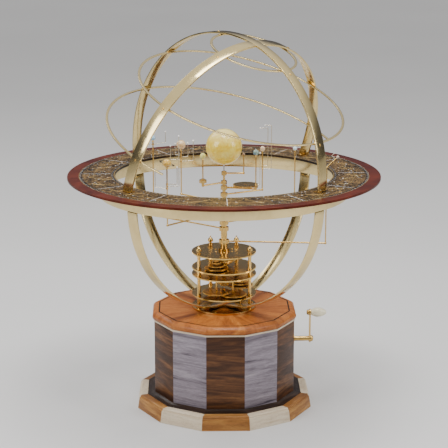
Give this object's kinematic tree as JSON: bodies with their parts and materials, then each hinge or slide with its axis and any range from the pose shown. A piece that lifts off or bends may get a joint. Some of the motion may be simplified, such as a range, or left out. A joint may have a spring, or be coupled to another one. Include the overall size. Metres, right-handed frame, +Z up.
{
  "type": "orrery",
  "caption": "Crank-driven tabletop orrery: geared planet arms around a sun ball, framed by a horizon ring and open armillary hemisphere, on a twelve-sided wooden case.",
  "frame": {"origin": "centre of the underside of the twelve-sided case", "axes": "+Z up along the planet axis; the front facet faces -Y; the crank is on the +X side"},
  "size_m": [0.4999, 0.5, 0.6111],
  "materials": {
    "golden_walnut": "oiled golden walnut, satin",
    "light_maple": "pale maple, satin lacquer",
    "dark_walnut": "dark walnut, satin",
    "figured_walnut": "figured walnut with level grain bands, satin",
    "pale_sycamore": "grey bleached sycamore, satin",
    "cherry": "orange-brown cherry, satin",
    "ebony": "black line inlay, satin",
    "gear_brass": "machined brass, turning marks",
    "brass": "polished brass",
    "polished_brass": "mirror-polished, lightly lacquered brass",
    "patinated_brass": "dark chemically patinated brass with gilt engraving",
    "steel": "drawn rod",
    "sun_amber": "polished amber resin",
    "bone_knob": "turned and polished cream knob",
    "mercury_stone": "polished mineral ball",
    "venus_stone": "polished mineral ball",
    "earth_stone": "polished mineral ball",
    "mars_stone": "polished mineral ball",
    "jupiter_stone": "polished mineral ball",
    "saturn_stone": "polished mineral ball",
    "uranus_stone": "polished mineral ball",
    "neptune_stone": "polished mineral ball",
    "pluto_stone": "polished mineral ball",
    "moon_wire": "thin brass wire with a white bead"
  },
  "bodies": {
    "stand": {"bearings": "gear_brass", "bed_plate": "brass", "black_inlay": "ebony", "box_pale_staves": "pale_sycamore", "box_walnut_staves": "figured_walnut", "brackets_and_screws": "brass", "cap_moulding": "cherry", "cove_and_floor": "dark_walnut", "cradle_bands": "polished_brass", "equator_arc": "polished_brass", "horizon_hoop": "polished_brass", "leaning_colure": "polished_brass", "maple_line": "light_maple", "plinth_maple_staves": "light_maple", "plinth_walnut_staves": "golden_walnut", "polar_circle": "polished_brass", "standing_colure": "polished_brass", "sun_globe": "sun_amber", "sun_spindle": "steel", "top_field": "cherry", "tower_pillars": "brass", "tower_plates": "brass", "tropic_circle": "polished_brass", "zodiac_ring": "patinated_brass"},
    "crank": {"crank_shaft": "brass", "crank_arm": "brass"},
    "knob": {"crank_knob": "bone_knob"},
    "fast_train": {"fast_arbor": "gear_brass"},
    "middle_train": {"middle_arbor": "gear_brass"},
    "slow_train": {"slow_arbor": "gear_brass"},
    "mercury": {"mercury_arm": "brass", "mercury_globe": "mercury_stone"},
    "venus": {"venus_arm": "brass", "venus_globe": "venus_stone"},
    "earth": {"earth_arm": "brass", "earth_globe": "earth_stone"},
    "mars": {"mars_arm": "brass", "mars_globe": "mars_stone"},
    "jupiter": {"jupiter_arm": "brass", "jupiter_globe": "jupiter_stone"},
    "saturn": {"saturn_arm": "brass", "saturn_globe": "saturn_stone"},
    "uranus": {"uranus_arm": "brass", "uranus_globe": "uranus_stone"},
    "neptune": {"neptune_arm": "brass", "neptune_globe": "neptune_stone"},
    "pluto": {"pluto_arm": "brass", "pluto_globe": "pluto_stone"},
    "luna_moon": {"luna": "moon_wire"},
    "phobos_moon": {"phobos": "moon_wire"},
    "deimos_moon": {"deimos": "moon_wire"},
    "io_moon": {"io": "moon_wire"},
    "europa_moon": {"europa": "moon_wire"},
    "ganymede_moon": {"ganymede": "moon_wire"},
    "callisto_moon": {"callisto": "moon_wire"},
    "titan_moon": {"titan": "moon_wire"},
    "rhea_moon": {"rhea": "moon_wire"},
    "iapetus_moon": {"iapetus": "moon_wire"},
    "triton_moon": {"triton": "moon_wire"},
    "charon_moon": {"charon": "moon_wire"}
  },
  "joints": [
    {"name": "crank_turn", "type": "hinge", "parent": "stand", "child": "crank", "pos_m": [0, 0, 0.105], "axis": [1, 0, 0], "continuous": true},
    {"name": "knob_spin", "type": "hinge", "parent": "crank", "child": "knob", "pos_m": [0.15, 0, 0.15], "axis": [1, 0, 0], "continuous": true},
    {"name": "fast_train_turn", "type": "hinge", "parent": "stand", "child": "fast_train", "pos_m": [0.026, 0, 0], "axis": [0, 0, 1], "continuous": true},
    {"name": "middle_train_turn", "type": "hinge", "parent": "stand", "child": "middle_train", "pos_m": [0.01379, -0.02204, 0], "axis": [0, 0, 1], "continuous": true},
    {"name": "slow_train_turn", "type": "hinge", "parent": "stand", "child": "slow_train", "pos_m": [-0.0126, -0.02274, 0], "axis": [0, 0, 1], "continuous": true},
    {"name": "mercury_orbit", "type": "hinge", "parent": "stand", "child": "mercury", "pos_m": [0, 0, 0], "axis": [0, 0, 1], "continuous": true},
    {"name": "venus_orbit", "type": "hinge", "parent": "stand", "child": "venus", "pos_m": [0, 0, 0], "axis": [0, 0, 1], "continuous": true},
    {"name": "earth_orbit", "type": "hinge", "parent": "stand", "child": "earth", "pos_m": [0, 0, 0], "axis": [0, 0, 1], "continuous": true},
    {"name": "mars_orbit", "type": "hinge", "parent": "stand", "child": "mars", "pos_m": [0, 0, 0], "axis": [0, 0, 1], "continuous": true},
    {"name": "jupiter_orbit", "type": "hinge", "parent": "stand", "child": "jupiter", "pos_m": [0, 0, 0], "axis": [0, 0, 1], "continuous": true},
    {"name": "saturn_orbit", "type": "hinge", "parent": "stand", "child": "saturn", "pos_m": [0, 0, 0], "axis": [0, 0, 1], "continuous": true},
    {"name": "uranus_orbit", "type": "hinge", "parent": "stand", "child": "uranus", "pos_m": [0, 0, 0], "axis": [0, 0, 1], "continuous": true},
    {"name": "neptune_orbit", "type": "hinge", "parent": "stand", "child": "neptune", "pos_m": [0, 0, 0], "axis": [0, 0, 1], "continuous": true},
    {"name": "pluto_orbit", "type": "hinge", "parent": "stand", "child": "pluto", "pos_m": [0, 0, 0], "axis": [0, 0, 1], "continuous": true},
    {"name": "luna_spin", "type": "hinge", "parent": "earth", "child": "luna_moon", "pos_m": [0.05056, -0.01214, 0], "axis": [0, 0, 1], "continuous": true},
    {"name": "phobos_spin", "type": "hinge", "parent": "mars", "child": "phobos_moon", "pos_m": [0.06313, 0.03357, 0], "axis": [0, 0, 1], "continuous": true},
    {"name": "deimos_spin", "type": "hinge", "parent": "mars", "child": "deimos_moon", "pos_m": [0.06313, 0.03357, 0], "axis": [0, 0, 1], "continuous": true},
    {"name": "io_spin", "type": "hinge", "parent": "jupiter", "child": "io_moon", "pos_m": [-0.06906, 0.06669, 0], "axis": [0, 0, 1], "continuous": true},
    {"name": "europa_spin", "type": "hinge", "parent": "jupiter", "child": "europa_moon", "pos_m": [-0.06906, 0.06669, 0], "axis": [0, 0, 1], "continuous": true},
    {"name": "ganymede_spin", "type": "hinge", "parent": "jupiter", "child": "ganymede_moon", "pos_m": [-0.06906, 0.06669, 0], "axis": [0, 0, 1], "continuous": true},
    {"name": "callisto_spin", "type": "hinge", "parent": "jupiter", "child": "callisto_moon", "pos_m": [-0.06906, 0.06669, 0], "axis": [0, 0, 1], "continuous": true},
    {"name": "titan_spin", "type": "hinge", "parent": "saturn", "child": "titan_moon", "pos_m": [-0.08956, -0.09145, 0], "axis": [0, 0, 1], "continuous": true},
    {"name": "rhea_spin", "type": "hinge", "parent": "saturn", "child": "rhea_moon", "pos_m": [-0.08956, -0.09145, 0], "axis": [0, 0, 1], "continuous": true},
    {"name": "iapetus_spin", "type": "hinge", "parent": "saturn", "child": "iapetus_moon", "pos_m": [-0.08956, -0.09145, 0], "axis": [0, 0, 1], "continuous": true},
    {"name": "triton_spin", "type": "hinge", "parent": "neptune", "child": "triton_moon", "pos_m": [-0.11567, 0.09233, 0], "axis": [0, 0, 1], "continuous": true},
    {"name": "charon_spin", "type": "hinge", "parent": "pluto", "child": "charon_moon", "pos_m": [0.17663, -0.01856, 0.40961], "axis": [0.7032, -0.0739, 0.7071], "continuous": true}
  ],
  "couplings": [
    {"joint": "fast_train_turn", "follows": "crank_turn", "ratio": 0.33333},
    {"joint": "middle_train_turn", "follows": "crank_turn", "ratio": -0.055556},
    {"joint": "slow_train_turn", "follows": "crank_turn", "ratio": 0.011111},
    {"joint": "mercury_orbit", "follows": "crank_turn", "ratio": -1.3333},
    {"joint": "venus_orbit", "follows": "crank_turn", "ratio": -0.53333},
    {"joint": "earth_orbit", "follows": "crank_turn", "ratio": -0.32323},
    {"joint": "mars_orbit", "follows": "crank_turn", "ratio": -0.17054},
    {"joint": "jupiter_orbit", "follows": "crank_turn", "ratio": -0.026901},
    {"joint": "saturn_orbit", "follows": "crank_turn", "ratio": -0.010774},
    {"joint": "uranus_orbit", "follows": "crank_turn", "ratio": -0.0039352},
    {"joint": "neptune_orbit", "follows": "crank_turn", "ratio": -0.0020202},
    {"joint": "pluto_orbit", "follows": "crank_turn", "ratio": -0.001341}
  ]
}
